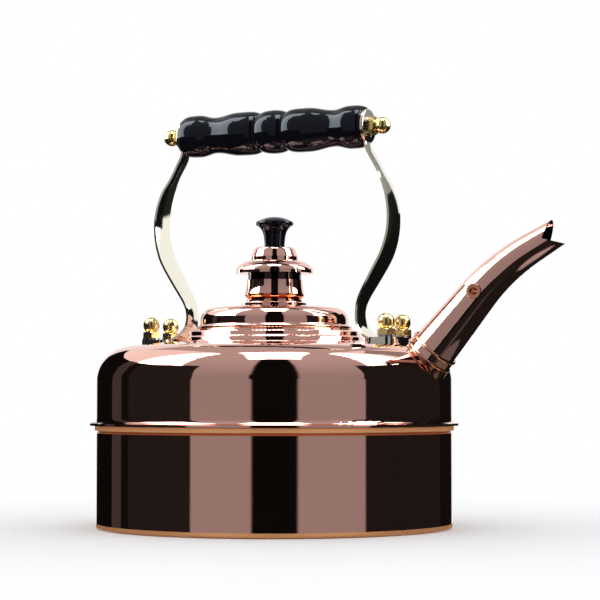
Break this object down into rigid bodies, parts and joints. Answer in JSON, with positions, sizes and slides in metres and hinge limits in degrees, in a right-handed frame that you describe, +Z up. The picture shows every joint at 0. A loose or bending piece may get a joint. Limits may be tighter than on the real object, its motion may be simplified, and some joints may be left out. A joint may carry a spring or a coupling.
{
  "type": "stovetop kettle",
  "caption": "Copper stovetop kettle with a lift-off stepped lid, a fixed brass strap handle with a turned black grip, and a bent tapered spout holding a hinged whistle flap.",
  "frame": {"origin": "centre of the base's underside, on the body's axis", "axes": "+X points at the spout, +Z is up along the body's axis, +Y is to the left of the spout"},
  "size_m": [0.2614, 0.1972, 0.2238],
  "materials": {
    "polished_copper": "mirror-polished copper",
    "satin_copper": "satin copper, orange at the seam",
    "strap_brass": "polished pale brass",
    "nut_brass": "polished yellow brass",
    "whistle_brass": "plain brass",
    "black_gloss": "high-gloss black",
    "fastener_steel": "bright steel"
  },
  "bodies": {
    "kettle": {"backing_plate_rear": "fastener_steel", "backing_plate_spout_side": "fastener_steel", "base_plate": "polished_copper", "foot_nut_rear_left": "nut_brass", "foot_nut_rear_right": "nut_brass", "foot_nut_spout_side_left": "nut_brass", "foot_nut_spout_side_right": "nut_brass", "foot_stud_rear_left": "fastener_steel", "foot_stud_rear_right": "fastener_steel", "foot_stud_spout_side_left": "fastener_steel", "foot_stud_spout_side_right": "fastener_steel", "foot_washer_rear_left": "fastener_steel", "foot_washer_rear_right": "fastener_steel", "foot_washer_spout_side_left": "fastener_steel", "foot_washer_spout_side_right": "fastener_steel", "grip": "black_gloss", "grip_nut_rear": "nut_brass", "grip_nut_spout_side": "nut_brass", "grip_washer_rear": "fastener_steel", "grip_washer_spout_side": "fastener_steel", "lid_collar": "polished_copper", "lower_shell": "polished_copper", "seam_band": "satin_copper", "spout_ferrule": "polished_copper", "spout_tube": "polished_copper", "strap_rear": "strap_brass", "strap_spout_side": "strap_brass", "tie_rod": "fastener_steel", "upper_shell": "polished_copper", "whistle_pin": "satin_copper", "whistle_seat": "whistle_brass"},
    "lid": {"lid_dome": "polished_copper", "lid_skirt": "polished_copper", "lid_neck": "polished_copper", "lid_cap": "polished_copper", "lid_cone": "polished_copper", "lid_knob": "black_gloss", "knob_stud": "fastener_steel", "knob_washer": "fastener_steel", "knob_nut": "fastener_steel"},
    "whistle": {"whistle_flap": "whistle_brass", "whistle_capsule": "whistle_brass"}
  },
  "joints": [
    {"name": "lid_lift", "type": "slide", "parent": "kettle", "child": "lid", "axis": [0, 0, 1], "range_m": [0, 0.03]},
    {"name": "whistle_flap_hinge", "type": "hinge", "parent": "kettle", "child": "whistle", "pos_m": [0.11755, 0, 0.12307], "axis": [0, -1, 0], "range_deg": [0, 60]}
  ]
}
